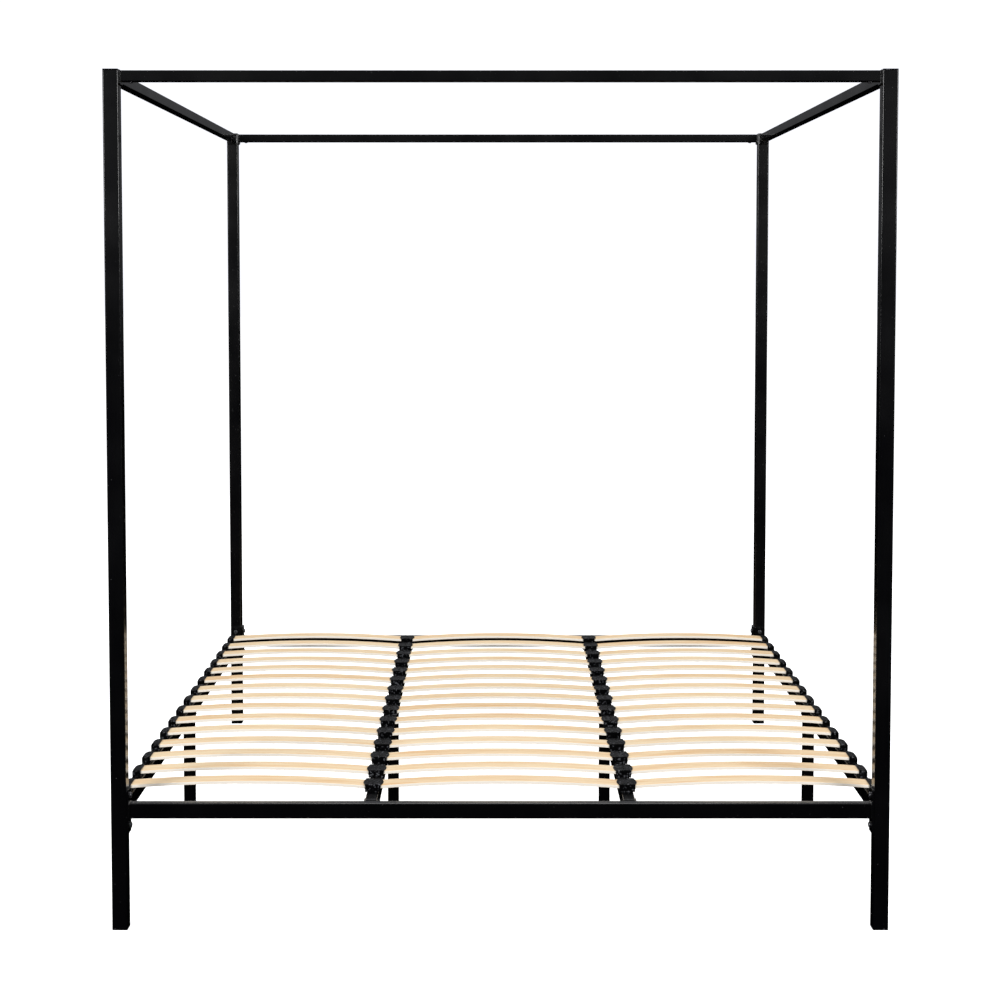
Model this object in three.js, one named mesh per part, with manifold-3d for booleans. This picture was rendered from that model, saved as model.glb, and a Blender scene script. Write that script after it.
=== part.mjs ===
// Four poster canopy bed: a flat-pack bed frame of welded square and rectangular steel tube.
//
// Frame: millimetres, +Z up, floor at Z = 0, origin under the middle of the bed.
// +X points to the right for someone who stands at the foot and looks at the head, +Y points
// from the foot to the head. "left" is -X, "foot" is -Y.
//
// Four posts carry four canopy rails on welded spigots. A foot rail, a head rail and two side
// rails are bolted between the posts through welded end plates, into nut plates that sit inside
// the posts. Two mid rails hang between the foot and head rails in pressed hangers. Four short
// legs stand under the middle of the side and mid rails. Fifteen rows of three bowed slats lie
// in moulded holders, which are pressed into holes in the tops of the side and mid rails.

import * as THREE from "three";
import { mergeVertices } from "three/addons/utils/BufferGeometryUtils.js";
import Module from "manifold-3d";

const wasm = await Module();
wasm.setup();

// ---------------------------------------------------------------- driving dimensions

// Overall sizes, outside to outside.
const OVERALL_WIDTH = 1906;
const OVERALL_LENGTH = 2106;
const OVERALL_HEIGHT = 2100;

// Gap between pieces that touch, and how far a cutting tool runs past the wall it cuts.
const FIT = 0.3;
const CUT = 1;

// Posts: square tube with plastic plugs in both ends.
const POST_SIZE = 38;
const POST_WALL = 1.5;
const POST_RADIUS = 3;
const CAP_FLANGE = 3;
const GLIDE_FLANGE = 4;
const PLUG_LENGTH = 14;
const PLUG_WALL = 2.5;

// Canopy: square tube pushed on to a spigot with a collar, both welded to the post.
const CANOPY_SIZE = 27;
const CANOPY_WALL = 1.5;
const CANOPY_RADIUS = 2.5;
const COLLAR_THICKNESS = 5;
const COLLAR_MARGIN = 1.5;
const COLLAR_DROP = 7;
const SPIGOT_LENGTH = 45;
const SPIGOT_WALL = 2;
const CANOPY_SCREW_HOLE = 6.4;
const CANOPY_SCREW_FROM_END = 22;

// Bed rails: rectangular tube, all with their tops at one height.
const RAIL_TOP = 314;
const RAIL_HEIGHT = 38;
const RAIL_WALL = 1.5;
const RAIL_RADIUS = 2.5;
const END_RAIL_WIDTH = 25;
const SIDE_RAIL_WIDTH = 30;
const MID_RAIL_WIDTH = 30;

// Welded end plates, and the bolts through them, above and below the rail. The plates are a
// little narrower than the post.
const PLATE_THICKNESS = 5;
const PLATE_MARGIN = 1;
const PLATE_PAST_BOLT = 18;
const PLATE_RADIUS = 4;
const BOLT_DIAMETER = 8;
const BOLT_CLEARANCE = 0.5;
const BOLT_PAST_RAIL = 18;
const BOLT_HEAD_DIAMETER = 15;
const BOLT_HEAD_HEIGHT = 5;
const BOLT_TIP = 3;

// Nut plates inside the post, one behind each end plate and clear of the other at the corner.
const NUT_PLATE_THICKNESS = 5;
const NUT_PLATE_CLEARANCE = 1.2;
const NUT_PLATE_PAST_BOLT = 13;

// Hangers that carry the ends of the mid rails.
const HANGER_THICKNESS = 3;
const HANGER_DEPTH = 38;
const HANGER_EAR = 6;
const HANGER_LIP_BELOW_RAIL_TOP = 5;
const HANGER_SCREW_HOLE = 4;

// Support legs: square tube with a welded foot plate under the rail.
const LEG_SIZE = 32;
const LEG_WALL = 1.5;
const LEG_RADIUS = 2.5;
const LEG_PLATE_LENGTH = 84;
const LEG_PLATE_THICKNESS = 4;
const LEG_SCREW_HOLE = 6.4;
const LEG_SCREW_OFFSET = 30;

// Slats, bowed upwards, in rows from the foot to the head.
const ROWS = 15;
const SLAT_WIDTH = 53;
const SLAT_THICKNESS = 8;
const SLAT_BOW = 12;
const FIRST_ROW_FROM_POST_AXIS = 117;

// Moulded holders. The single one caps a slat's outer end on a side rail, and the double one
// joins two slats over a mid rail. A slat lies a little above the rail, in a pocket. The mouth
// of the single one lies a little outside the inner face of the side rail.
const HOLDER_FLOOR = 8;
const HOLDER_ROOF = 4;
const HOLDER_CHEEK = 3;
const SINGLE_MOUTH_INSET = 6;
const SINGLE_WIDTH = 24;
const SINGLE_CORNER = 14;
const SINGLE_POCKET = 15;
const DOUBLE_HALF_WIDTH = 25;
const DOUBLE_HALF_NECK = 20;
const DOUBLE_POINT = 7;
const DOUBLE_POCKET = 9;
const PEG_DIAGONAL = 9;
const PEG_LENGTH = 6;

// Facets: straight pieces in a quarter of a corner, in a slat's bow, and round a hole or bolt.
const CORNER_FACETS = 2;
const BOW_FACETS = 4;
const BOLT_FACETS = 8;
const PEG_FACETS = 4;

// ---------------------------------------------------------------- derived places

const POST_X = (OVERALL_WIDTH - POST_SIZE) / 2;
const POST_Y = (OVERALL_LENGTH - POST_SIZE) / 2;
const POST_BOTTOM = GLIDE_FLANGE + FIT;
const POST_TOP = OVERALL_HEIGHT - CAP_FLANGE - FIT;
const RAIL_MIDDLE = RAIL_TOP - RAIL_HEIGHT / 2;
const RAIL_BOTTOM = RAIL_TOP - RAIL_HEIGHT;
const CANOPY_MIDDLE = POST_TOP - CANOPY_SIZE / 2;
const END_RAIL_FACE = POST_Y - END_RAIL_WIDTH / 2;

const BOLT_OFFSET = RAIL_HEIGHT / 2 + BOLT_PAST_RAIL;
const BOLT_HOLE = BOLT_DIAMETER + 2 * BOLT_CLEARANCE;
const PLATE_WIDTH = POST_SIZE - 2 * PLATE_MARGIN;
const PLATE_HEIGHT = 2 * (BOLT_OFFSET + PLATE_PAST_BOLT);
const NUT_PLATE_HEIGHT = 2 * (BOLT_OFFSET + NUT_PLATE_PAST_BOLT);
const NUT_PLATE_DEPTH = POST_WALL + FIT + NUT_PLATE_THICKNESS + NUT_PLATE_CLEARANCE;
const NUT_PLATE_WIDTH = POST_SIZE - 2 * NUT_PLATE_DEPTH;

const HOLDER_TOP = RAIL_TOP + HOLDER_FLOOR + SLAT_THICKNESS + HOLDER_ROOF;
const HOLDER_LENGTH = SLAT_WIDTH + 2 * HOLDER_CHEEK;
const SINGLE_MOUTH_X = POST_X - SIDE_RAIL_WIDTH / 2 + SINGLE_MOUTH_INSET;

// The three slats of a row have one length, which fixes where the mid rails lie.
const MID_RAIL_X = (SINGLE_MOUTH_X + SINGLE_POCKET + DOUBLE_HALF_WIDTH - DOUBLE_POCKET) / 3;
const SLAT_LENGTH = 2 * (MID_RAIL_X - DOUBLE_HALF_WIDTH + DOUBLE_POCKET);
const OUTER_SLAT_X = SINGLE_MOUTH_X + SINGLE_POCKET - SLAT_LENGTH / 2;

const ROW_PITCH = (2 * (POST_Y - FIRST_ROW_FROM_POST_AXIS)) / (ROWS - 1);
const ROW_Y = Array.from({ length: ROWS }, (_, row) => (row - (ROWS - 1) / 2) * ROW_PITCH);

const SIDES = [
  { name: "left", sign: -1 },
  { name: "right", sign: 1 },
];
const ENDS = [
  { name: "foot", sign: -1 },
  { name: "head", sign: 1 },
];

// ---------------------------------------------------------------- materials

const blackSteel = new THREE.MeshStandardMaterial({ color: 0x0d0d0e, roughness: 0.34, metalness: 0.1 });
const blackPlastic = new THREE.MeshStandardMaterial({ color: 0x1a1b1d, roughness: 0.5, metalness: 0 });
const birch = new THREE.MeshStandardMaterial({ color: 0xedd3a8, roughness: 0.55, metalness: 0 });
const boltSteel = new THREE.MeshStandardMaterial({ color: 0x3a3a3c, roughness: 0.35, metalness: 0.9 });

// ---------------------------------------------------------------- solids and booleans

function solidOf(geometry) {
  const bare = geometry.clone();
  bare.deleteAttribute("normal");
  bare.deleteAttribute("uv");
  const merged = mergeVertices(bare);
  return new wasm.Manifold(
    new wasm.Mesh({
      numProp: 3,
      vertProperties: merged.attributes.position.array,
      triVerts: new Uint32Array(merged.index.array),
    }),
  );
}

function geometryOf(solid) {
  const { vertProperties, triVerts } = solid.getMesh();
  const geometry = new THREE.BufferGeometry();
  geometry.setAttribute("position", new THREE.BufferAttribute(vertProperties, 3));
  geometry.setIndex(new THREE.BufferAttribute(triVerts, 1));
  geometry.computeVertexNormals();
  return geometry;
}

// Joins the first list of geometries and takes the second list away from them.
function joined(parts, cuts = []) {
  let solid = parts.map(solidOf).reduce((a, b) => a.add(b));
  for (const cut of cuts) solid = solid.subtract(solidOf(cut));
  return geometryOf(solid);
}

function meshOf(name, geometry, material) {
  const mesh = new THREE.Mesh(geometry, material);
  mesh.name = name;
  return mesh;
}

// ---------------------------------------------------------------- shapes

// A rectangle about the origin, with its corners rounded where the radius is not zero.
function rectangle(width, height, radius = 0) {
  const x = width / 2;
  const y = height / 2;
  const shape = new THREE.Shape();
  if (radius === 0) {
    shape.moveTo(-x, -y).lineTo(x, -y).lineTo(x, y).lineTo(-x, y);
    return shape;
  }
  shape.absarc(x - radius, -y + radius, radius, -Math.PI / 2, 0);
  shape.absarc(x - radius, y - radius, radius, 0, Math.PI / 2);
  shape.absarc(-x + radius, y - radius, radius, Math.PI / 2, Math.PI);
  shape.absarc(-x + radius, -y + radius, radius, Math.PI, 1.5 * Math.PI);
  return shape;
}

// A prism on a shape, from Z = 0 upwards.
function prism(shape, length, facets = CORNER_FACETS) {
  return new THREE.ExtrudeGeometry(shape, { depth: length, bevelEnabled: false, curveSegments: facets });
}

// A box from its sizes and the middle of its bottom face.
function block(sizeX, sizeY, sizeZ, x = 0, y = 0, z = 0) {
  return new THREE.BoxGeometry(sizeX, sizeY, sizeZ).translate(x, y, z + sizeZ / 2);
}

// A round bar from Z = 0 upwards.
function bar(diameter, length, facets = BOLT_FACETS) {
  return new THREE.CylinderGeometry(diameter / 2, diameter / 2, length, facets)
    .rotateX(Math.PI / 2)
    .translate(0, 0, length / 2);
}

// The outside and the bore of a rectangular tube, from Z = 0 upwards. The bore is longer than
// the tube by the given ends, so that it can be cut through end plates as well.
function tubeOutside(width, height, radius, length) {
  return prism(rectangle(width, height, radius), length);
}

function tubeBore(width, height, wall, length, pastEnds = CUT) {
  const bore = prism(rectangle(width - 2 * wall, height - 2 * wall), length + 2 * pastEnds);
  return bore.translate(0, 0, -pastEnds);
}

// Turns a piece that stands along +Z so that it lies along +X or +Y. Its local X becomes the
// vertical for a piece along X, and its local Y becomes the vertical for a piece along Y.
function alongX(geometry) {
  return geometry.rotateY(Math.PI / 2);
}

function alongY(geometry) {
  return geometry.rotateX(Math.PI / 2).rotateZ(Math.PI);
}

// ---------------------------------------------------------------- posts and their plugs

// A post stands at its own axis, with the bed on the side that the two signs point away from.
function postGeometry(sideSign, endSign) {
  const face = POST_SIZE / 2;
  const collarHeight = CANOPY_SIZE + COLLAR_DROP;
  const collarWidth = CANOPY_SIZE + 2 * COLLAR_MARGIN;
  const spigotSize = CANOPY_SIZE - 2 * CANOPY_WALL - 2 * FIT;
  const reach = COLLAR_THICKNESS + SPIGOT_LENGTH;
  const root = POST_WALL / 2;

  // One arm points along +Z from the middle of the post, before it is turned and lifted.
  const arm = () => ({
    collar: prism(rectangle(collarHeight, collarWidth, CANOPY_RADIUS), COLLAR_THICKNESS + root)
      .translate(COLLAR_DROP / 2, 0, face - root),
    spigot: prism(rectangle(spigotSize, spigotSize), reach + root).translate(0, 0, face - root),
    bore: prism(rectangle(spigotSize - 2 * SPIGOT_WALL, spigotSize - 2 * SPIGOT_WALL), reach)
      .translate(0, 0, face + COLLAR_THICKNESS / 2),
    screw: alongX(bar(CANOPY_SCREW_HOLE, CANOPY_SIZE / 2))
      .translate(0, 0, face + COLLAR_THICKNESS + CANOPY_SCREW_FROM_END),
  });
  const turn = {
    x: (geometry) => alongX(geometry).rotateZ(sideSign > 0 ? Math.PI : 0).translate(0, 0, CANOPY_MIDDLE),
    y: (geometry) =>
      alongX(geometry).rotateZ((-endSign * Math.PI) / 2).translate(0, 0, CANOPY_MIDDLE),
  };

  const parts = [];
  const cuts = [];
  for (const place of [turn.x, turn.y]) {
    const { collar, spigot, bore, screw } = arm();
    parts.push(place(collar), place(spigot));
    cuts.push(place(bore), place(screw));
  }

  const height = POST_TOP - POST_BOTTOM;
  parts.push(tubeOutside(POST_SIZE, POST_SIZE, POST_RADIUS, height).translate(0, 0, POST_BOTTOM));
  cuts.push(tubeBore(POST_SIZE, POST_SIZE, POST_WALL, height).translate(0, 0, POST_BOTTOM));
  for (const level of [RAIL_MIDDLE - BOLT_OFFSET, RAIL_MIDDLE + BOLT_OFFSET]) {
    cuts.push(alongX(bar(BOLT_HOLE, face)).rotateZ(sideSign > 0 ? Math.PI : 0).translate(0, 0, level));
    cuts.push(alongX(bar(BOLT_HOLE, face)).rotateZ((-endSign * Math.PI) / 2).translate(0, 0, level));
  }
  return joined(parts, cuts);
}

// A plug for a square tube: a flange over the tube's end and a hollow skirt inside it. It is
// made with the flange at the bottom and the skirt pointing up.
function plugGeometry(size, wall, radius, flange) {
  const skirt = size - 2 * wall - 2 * FIT;
  const hollow = block(skirt - 2 * PLUG_WALL, skirt - 2 * PLUG_WALL, PLUG_LENGTH + CUT, 0, 0, flange);
  return joined(
    [prism(rectangle(size, size, radius), flange), block(skirt, skirt, flange + PLUG_LENGTH)],
    [hollow],
  );
}

function makePost(side, end) {
  const group = new THREE.Group();
  const label = `${end.name}_${side.name}`;
  group.position.set(side.sign * POST_X, end.sign * POST_Y, 0);
  group.add(meshOf(`post_${label}`, postGeometry(side.sign, end.sign), blackSteel));

  const glide = plugGeometry(POST_SIZE, POST_WALL, POST_RADIUS, GLIDE_FLANGE);
  group.add(meshOf(`post_glide_${label}`, glide, blackPlastic));

  const cap = plugGeometry(POST_SIZE, POST_WALL, POST_RADIUS, CAP_FLANGE).rotateX(Math.PI);
  const capMesh = meshOf(`post_cap_${label}`, cap, blackPlastic);
  capMesh.position.z = OVERALL_HEIGHT;
  group.add(capMesh);
  return group;
}

// ---------------------------------------------------------------- canopy rails

// A canopy rail is made along +X, centred, and is pushed over a spigot at each end.
function canopyRailGeometry(postAxis) {
  const length = 2 * (postAxis - POST_SIZE / 2 - COLLAR_THICKNESS - FIT);
  const outside = tubeOutside(CANOPY_SIZE, CANOPY_SIZE, CANOPY_RADIUS, length);
  const bore = tubeBore(CANOPY_SIZE, CANOPY_SIZE, CANOPY_WALL, length);
  const lie = (geometry) => alongX(geometry).translate(-length / 2, 0, 0);
  const fromMiddle = postAxis - POST_SIZE / 2 - COLLAR_THICKNESS - CANOPY_SCREW_FROM_END;
  const screwHoles = [-1, 1].map((sign) =>
    bar(CANOPY_SCREW_HOLE, CANOPY_SIZE / 2 + CUT).translate(sign * fromMiddle, 0, -CANOPY_SIZE / 2 - CUT),
  );
  return joined([lie(outside)], [lie(bore), ...screwHoles]);
}

function makeCanopy() {
  const group = new THREE.Group();
  group.position.z = CANOPY_MIDDLE;
  for (const end of ENDS) {
    const rail = meshOf(`canopy_rail_${end.name}`, canopyRailGeometry(POST_X), blackSteel);
    rail.position.y = end.sign * POST_Y;
    group.add(rail);
  }
  for (const side of SIDES) {
    const rail = meshOf(`canopy_rail_${side.name}`, canopyRailGeometry(POST_Y), blackSteel);
    rail.rotation.z = Math.PI / 2;
    rail.position.x = side.sign * POST_X;
    group.add(rail);
  }
  return group;
}

// ---------------------------------------------------------------- bed rails

// A bed rail with a welded plate at each end, made along +X and centred on its own axis. The
// places of its holder pegs and leg screws are given along the rail.
function boltedRailGeometry(postAxis, width, pegs = [], legScrews = []) {
  const plateFace = postAxis - POST_SIZE / 2 - FIT;
  const tubeEnd = plateFace - PLATE_THICKNESS / 2;
  const lie = (geometry) => alongX(geometry).translate(-tubeEnd, 0, 0);
  const parts = [lie(tubeOutside(RAIL_HEIGHT, width, RAIL_RADIUS, 2 * tubeEnd))];
  const cuts = [lie(tubeBore(RAIL_HEIGHT, width, RAIL_WALL, 2 * tubeEnd, PLATE_THICKNESS))];
  for (const sign of [-1, 1]) {
    const middle = sign * (plateFace - PLATE_THICKNESS / 2);
    const plate = prism(rectangle(PLATE_HEIGHT, PLATE_WIDTH, PLATE_RADIUS), PLATE_THICKNESS);
    parts.push(alongX(plate).translate(middle - PLATE_THICKNESS / 2, 0, 0));
    for (const level of [-BOLT_OFFSET, BOLT_OFFSET]) {
      const hole = alongX(bar(BOLT_HOLE, PLATE_THICKNESS + 2 * CUT));
      cuts.push(hole.translate(middle - PLATE_THICKNESS / 2 - CUT, 0, level));
    }
  }
  return joined(parts, [...cuts, ...pegHoles(pegs), ...legScrewHoles(legScrews)]);
}

function pegHoles(places) {
  return places.map((x) =>
    bar(PEG_DIAGONAL + 2 * FIT, RAIL_HEIGHT / 2 + CUT, PEG_FACETS).translate(x, 0, 0),
  );
}

function legScrewHoles(places) {
  return places.map((x) =>
    bar(LEG_SCREW_HOLE, RAIL_HEIGHT / 2 + CUT, PEG_FACETS).translate(x, 0, -RAIL_HEIGHT / 2 - CUT),
  );
}

// A mid rail is a plain tube that lies in a hanger at each end.
function midRailGeometry() {
  const end = END_RAIL_FACE - FIT - HANGER_THICKNESS - FIT;
  const lie = (geometry) => alongX(geometry).translate(-end, 0, 0);
  return joined(
    [lie(tubeOutside(RAIL_HEIGHT, MID_RAIL_WIDTH, RAIL_RADIUS, 2 * end))],
    [
      lie(tubeBore(RAIL_HEIGHT, MID_RAIL_WIDTH, RAIL_WALL, 2 * end)),
      ...pegHoles(ROW_Y),
      ...legScrewHoles([-LEG_SCREW_OFFSET, LEG_SCREW_OFFSET]),
    ],
  );
}

// A pressed hanger: a back plate with ears, a floor and two cheeks, made with its back on the
// plane X = 0 and its mouth towards +X. Z = 0 is the middle of the rail.
function hangerGeometry() {
  const inside = MID_RAIL_WIDTH + 2 * FIT;
  const outside = inside + 2 * HANGER_THICKNESS;
  const floor = -RAIL_HEIGHT / 2 - FIT;
  const bottom = floor - HANGER_THICKNESS;
  const top = RAIL_HEIGHT / 2 - HANGER_LIP_BELOW_RAIL_TOP;
  const height = top - bottom;
  const back = block(HANGER_THICKNESS, outside + 2 * HANGER_EAR, height, HANGER_THICKNESS / 2, 0, bottom);
  const channel = block(HANGER_DEPTH, outside, height, HANGER_DEPTH / 2, 0, bottom);
  const room = block(HANGER_DEPTH, inside, height, HANGER_THICKNESS + HANGER_DEPTH / 2, 0, floor);
  const screwHoles = [-1, 1].map((sign) =>
    alongX(bar(HANGER_SCREW_HOLE, HANGER_THICKNESS + 2 * CUT, PEG_FACETS))
      .translate(-CUT, (sign * (outside + HANGER_EAR)) / 2, 0),
  );
  return joined([back, channel], [room, ...screwHoles]);
}

function makeBedRails() {
  const group = new THREE.Group();
  group.position.z = RAIL_MIDDLE;
  for (const end of ENDS) {
    const rail = meshOf(`${end.name}_rail`, boltedRailGeometry(POST_X, END_RAIL_WIDTH), blackSteel);
    rail.position.y = end.sign * POST_Y;
    group.add(rail);
  }
  for (const side of SIDES) {
    const geometry = boltedRailGeometry(
      POST_Y,
      SIDE_RAIL_WIDTH,
      ROW_Y,
      [-LEG_SCREW_OFFSET, LEG_SCREW_OFFSET],
    );
    const sideRail = meshOf(`side_rail_${side.name}`, geometry, blackSteel);
    sideRail.rotation.z = Math.PI / 2;
    sideRail.position.x = side.sign * POST_X;
    group.add(sideRail);

    const midRail = meshOf(`mid_rail_${side.name}`, midRailGeometry(), blackSteel);
    midRail.rotation.z = Math.PI / 2;
    midRail.position.x = side.sign * MID_RAIL_X;
    group.add(midRail);

    for (const end of ENDS) {
      const hanger = meshOf(`rail_hanger_${end.name}_${side.name}`, hangerGeometry(), blackSteel);
      hanger.position.set(side.sign * MID_RAIL_X, end.sign * (END_RAIL_FACE - FIT), 0);
      hanger.rotation.z = (-end.sign * Math.PI) / 2;
      group.add(hanger);
    }
  }
  return group;
}

// ---------------------------------------------------------------- bolts and nut plates

// The two bolts of one end plate with the nut plate that they hold inside the post. The plane
// X = 0 is the post's face, +X points out of the post, and Z = 0 is the middle of the rail.
function boltPairGeometry() {
  const nutOutside = -POST_WALL - FIT;
  const nutInside = nutOutside - NUT_PLATE_THICKNESS;
  const headSeat = FIT + PLATE_THICKNESS + FIT;
  const nutPlate = block(
    NUT_PLATE_THICKNESS,
    NUT_PLATE_WIDTH,
    NUT_PLATE_HEIGHT,
    nutOutside - NUT_PLATE_THICKNESS / 2,
    0,
    -NUT_PLATE_HEIGHT / 2,
  );
  const parts = [nutPlate];
  for (const level of [-BOLT_OFFSET, BOLT_OFFSET]) {
    const tip = nutInside - BOLT_TIP;
    parts.push(alongX(bar(BOLT_DIAMETER, headSeat + BOLT_HEAD_HEIGHT / 2 - tip)).translate(tip, 0, level));
    parts.push(alongX(bar(BOLT_HEAD_DIAMETER, BOLT_HEAD_HEIGHT)).translate(headSeat, 0, level));
  }
  return joined(parts);
}

function makeBolts() {
  const group = new THREE.Group();
  group.position.z = RAIL_MIDDLE;
  for (const side of SIDES) {
    for (const end of ENDS) {
      const label = `${end.name}_${side.name}`;
      const endPair = meshOf(`end_rail_bolts_${label}`, boltPairGeometry(), boltSteel);
      endPair.position.set(side.sign * (POST_X - POST_SIZE / 2), end.sign * POST_Y, 0);
      endPair.rotation.z = side.sign > 0 ? Math.PI : 0;
      group.add(endPair);

      const sidePair = meshOf(`side_rail_bolts_${label}`, boltPairGeometry(), boltSteel);
      sidePair.position.set(side.sign * POST_X, end.sign * (POST_Y - POST_SIZE / 2), 0);
      sidePair.rotation.z = (-end.sign * Math.PI) / 2;
      group.add(sidePair);
    }
  }
  return group;
}

// ---------------------------------------------------------------- support legs

function legGeometry() {
  const plateTop = RAIL_BOTTOM - FIT;
  const tubeTop = plateTop - LEG_PLATE_THICKNESS;
  const height = tubeTop - POST_BOTTOM;
  const plate = block(LEG_SIZE, LEG_PLATE_LENGTH, LEG_PLATE_THICKNESS, 0, 0, tubeTop);
  const outside = tubeOutside(LEG_SIZE, LEG_SIZE, LEG_RADIUS, height + LEG_PLATE_THICKNESS / 2);
  const bore = prism(rectangle(LEG_SIZE - 2 * LEG_WALL, LEG_SIZE - 2 * LEG_WALL), height + CUT);
  const screwHoles = [-1, 1].map((sign) =>
    bar(LEG_SCREW_HOLE, LEG_PLATE_THICKNESS + 2 * CUT, PEG_FACETS)
      .translate(0, sign * LEG_SCREW_OFFSET, tubeTop - CUT),
  );
  return joined(
    [outside.translate(0, 0, POST_BOTTOM), plate],
    [bore.translate(0, 0, POST_BOTTOM - CUT), ...screwHoles],
  );
}

function makeLegs() {
  const group = new THREE.Group();
  for (const side of SIDES) {
    for (const [place, x] of [["outer", POST_X], ["inner", MID_RAIL_X]]) {
      const stand = new THREE.Group();
      stand.position.x = side.sign * x;
      stand.add(meshOf(`support_leg_${place}_${side.name}`, legGeometry(), blackSteel));
      const glide = plugGeometry(LEG_SIZE, LEG_WALL, LEG_RADIUS, GLIDE_FLANGE);
      stand.add(meshOf(`leg_glide_${place}_${side.name}`, glide, blackPlastic));
      group.add(stand);
    }
  }
  return group;
}

// ---------------------------------------------------------------- slats and holders

// A slat is a band between two arcs with one centre, bowed upwards and centred on X = 0, with
// the bottom of its ends at Z = 0.
function slatGeometry() {
  const half = SLAT_LENGTH / 2;
  const radius = (half * half + SLAT_BOW * SLAT_BOW) / (2 * SLAT_BOW);
  const spread = Math.asin(half / radius);
  const centre = SLAT_BOW - radius;
  const start = Math.PI / 2 - spread;
  const finish = Math.PI / 2 + spread;
  const shape = new THREE.Shape();
  shape.absarc(0, centre, radius + SLAT_THICKNESS, start, finish, false);
  shape.absarc(0, centre, radius, finish, start, true);
  return prism(shape, SLAT_WIDTH, BOW_FACETS).rotateX(Math.PI / 2).translate(0, SLAT_WIDTH / 2, 0);
}

// A peg under a holder, pressed through the wall of the rail below it.
function peg() {
  return bar(PEG_DIAGONAL, PEG_LENGTH + HOLDER_FLOOR / 2, PEG_FACETS).translate(0, 0, -PEG_LENGTH);
}

// The holder at a slat's outer end: a block with rounded outer corners, its mouth on X = 0 and
// the rail's outer edge towards +X.
function singleHolderGeometry() {
  const y = HOLDER_LENGTH / 2;
  const x = SINGLE_WIDTH;
  const shape = new THREE.Shape();
  shape.moveTo(0, -y);
  shape.absarc(x - SINGLE_CORNER, -y + SINGLE_CORNER, SINGLE_CORNER, -Math.PI / 2, 0);
  shape.absarc(x - SINGLE_CORNER, y - SINGLE_CORNER, SINGLE_CORNER, 0, Math.PI / 2);
  shape.lineTo(0, y);
  return prism(shape, HOLDER_TOP - RAIL_TOP - FIT).translate(0, 0, FIT);
}

// The holder between two slats: six-sided, and widest in the middle of its length.
function doubleHolderGeometry() {
  const y = HOLDER_LENGTH / 2;
  const shape = new THREE.Shape();
  shape.moveTo(-DOUBLE_HALF_NECK, -y).lineTo(DOUBLE_HALF_NECK, -y);
  shape.lineTo(DOUBLE_HALF_WIDTH, -DOUBLE_POINT).lineTo(DOUBLE_HALF_WIDTH, DOUBLE_POINT);
  shape.lineTo(DOUBLE_HALF_NECK, y).lineTo(-DOUBLE_HALF_NECK, y);
  shape.lineTo(-DOUBLE_HALF_WIDTH, DOUBLE_POINT).lineTo(-DOUBLE_HALF_WIDTH, -DOUBLE_POINT);
  return prism(shape, HOLDER_TOP - RAIL_TOP - FIT).translate(0, 0, FIT);
}

// A row is one solid: three slats and the four holders that clamp them end to end. Z = 0 is
// the top of the rails.
function rowGeometry() {
  const slats = [-OUTER_SLAT_X, 0, OUTER_SLAT_X].map((x) => slatGeometry().translate(x, 0, HOLDER_FLOOR));
  const holders = SIDES.flatMap(({ sign }) => [
    singleHolderGeometry().translate(SINGLE_MOUTH_X, 0, 0).rotateZ(sign > 0 ? 0 : Math.PI),
    peg().translate(sign * POST_X, 0, 0),
    doubleHolderGeometry().translate(sign * MID_RAIL_X, 0, 0),
    peg().translate(sign * MID_RAIL_X, 0, 0),
  ]);
  return joined([...slats, ...holders]);
}

function makeSlatRows() {
  const group = new THREE.Group();
  group.position.z = RAIL_TOP;
  const geometry = rowGeometry();
  ROW_Y.forEach((y, row) => {
    const mesh = meshOf(`slat_row_${String(row + 1).padStart(2, "0")}`, geometry, birch);
    mesh.position.y = y;
    group.add(mesh);
  });
  return group;
}

// ---------------------------------------------------------------- the bed

const bed = new THREE.Group();
for (const side of SIDES) {
  for (const end of ENDS) bed.add(makePost(side, end));
}
bed.add(makeCanopy(), makeBedRails(), makeBolts(), makeLegs(), makeSlatRows());

export default bed;
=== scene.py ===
# %% [markdown]
# # A four poster canopy bed in steel tube
#
# The bed is a flat-pack frame. Black powder-coated steel tubes are bolted together at four tall
# posts, four more tubes make an open canopy at the top, and rows of bowed birch slats lie in
# moulded holders on the rails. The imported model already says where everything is, so this
# lesson only makes the surfaces that a person sees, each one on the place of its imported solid.
#
# The first lines load that model. Its box is noted at once, to be compared with the box of the
# finished pieces in the last cell.

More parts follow.
